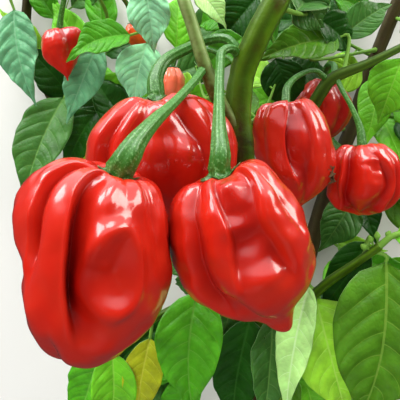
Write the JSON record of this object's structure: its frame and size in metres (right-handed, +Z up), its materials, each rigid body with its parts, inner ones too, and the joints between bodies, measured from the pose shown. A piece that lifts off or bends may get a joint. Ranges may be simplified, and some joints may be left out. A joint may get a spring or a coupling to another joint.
{
  "type": "fruiting chilli pepper branch",
  "caption": "Cut branch of a bonnet chilli plant, lying down, with forked stems, wrinkled red fruits on long stalks and broad green leaves.",
  "frame": {"origin": "centre of the branch's box, on the surface that it lies on", "axes": "+Y from the cut foot towards the leafy tips, +Z up, away from the surface, +X to the right"},
  "size_m": [0.2354, 0.2696, 0.1417],
  "materials": {
    "stem": "ribbed green stem, browner and purplish at its forks, semi-matt",
    "red_skin": "waxy wrinkled ripe skin, high gloss",
    "orange_skin": "waxy half ripe skin, high gloss",
    "fruit_stalk": "smooth fleshy green, satin",
    "leaf": "veined leaf blade, satin above and matt below"
  },
  "bodies": {
    "root": {"main_stem": "stem", "right_limb": "stem", "left_limb": "stem", "fruit_branch": "stem", "right_rear_limb": "stem", "left_rear_limb": "stem", "spray_low_right": "leaf", "spray_low_left": "leaf", "spray_upper_left": "leaf", "fruit_front_left": "red_skin", "fruit_front_middle": "red_skin", "fruit_behind": "red_skin", "fruit_right": "red_skin", "fruit_far_right": "red_skin", "fruit_under_fork": "red_skin", "fruit_upper_left": "red_skin", "fruit_orange": "orange_skin", "fruit_half_hidden": "red_skin", "stalk_front_left": "fruit_stalk", "stalk_front_middle": "fruit_stalk", "stalk_behind": "fruit_stalk", "stalk_right": "fruit_stalk", "stalk_far_right": "fruit_stalk", "stalk_under_fork": "fruit_stalk", "stalk_upper_left": "fruit_stalk", "stalk_orange": "fruit_stalk", "stalk_half_hidden": "fruit_stalk", "leaf_low_6": "leaf", "leaf_right_1": "leaf", "leaf_right_2": "leaf", "leaf_right_3": "leaf", "leaf_right_4": "leaf", "leaf_top_1": "leaf", "leaf_top_2": "leaf", "leaf_top_3": "leaf", "leaf_top_4": "leaf", "leaf_top_5": "leaf", "leaf_top_6": "leaf", "leaf_left_1": "leaf", "leaf_left_2": "leaf", "leaf_mid_1": "leaf", "shoot_top_right": "leaf", "shoot_top_left": "leaf", "shoot_right": "leaf", "shoot_rear_right": "leaf", "shoot_rear_left": "leaf"}
  },
  "joints": []
}
